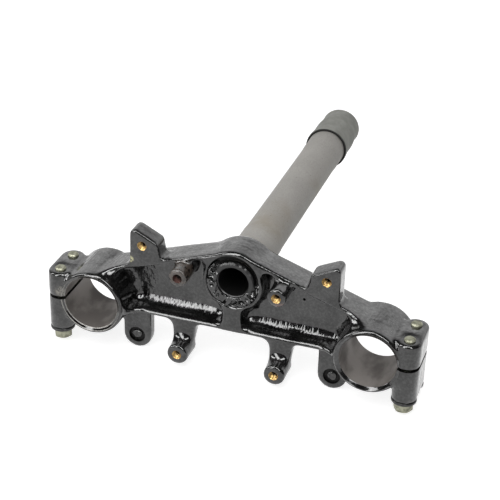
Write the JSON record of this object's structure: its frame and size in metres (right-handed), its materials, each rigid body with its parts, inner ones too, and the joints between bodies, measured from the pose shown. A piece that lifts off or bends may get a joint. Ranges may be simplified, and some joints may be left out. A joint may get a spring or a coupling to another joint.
{
  "type": "motorcycle lower triple clamp",
  "caption": "Lower triple clamp for a motorcycle fork: a cast yoke with slit fork clamps, pinch bolts, threaded lugs and a long steering stem under a push-on cap.",
  "frame": {"origin": "on the steering axis at the seat of the lower steering bearing, the low flat ring on top of the hub", "axes": "+X across the fork clamps to the rider's right as the stem points up, +Y up the steering stem, +Z to the rear of the motorcycle, upwards as the part is pictured"},
  "size_m": [0.2764, 0.299, 0.101],
  "materials": {
    "yoke_paint": "gloss",
    "stem_steel": "matte",
    "cap_vinyl": "matte",
    "zinc_bolt": "satin",
    "black_washer": "satin"
  },
  "bodies": {
    "root": {"lower_yoke": "yoke_paint", "steering_stem": "stem_steel", "stem_end_cap": "cap_vinyl", "pinch_bolt_left_lower": "zinc_bolt", "pinch_bolt_left_upper": "zinc_bolt", "pinch_bolt_right_lower": "zinc_bolt", "pinch_bolt_right_upper": "zinc_bolt", "washer_left_lower": "black_washer", "washer_left_upper": "black_washer", "washer_right_lower": "black_washer", "washer_right_upper": "black_washer"}
  },
  "joints": []
}
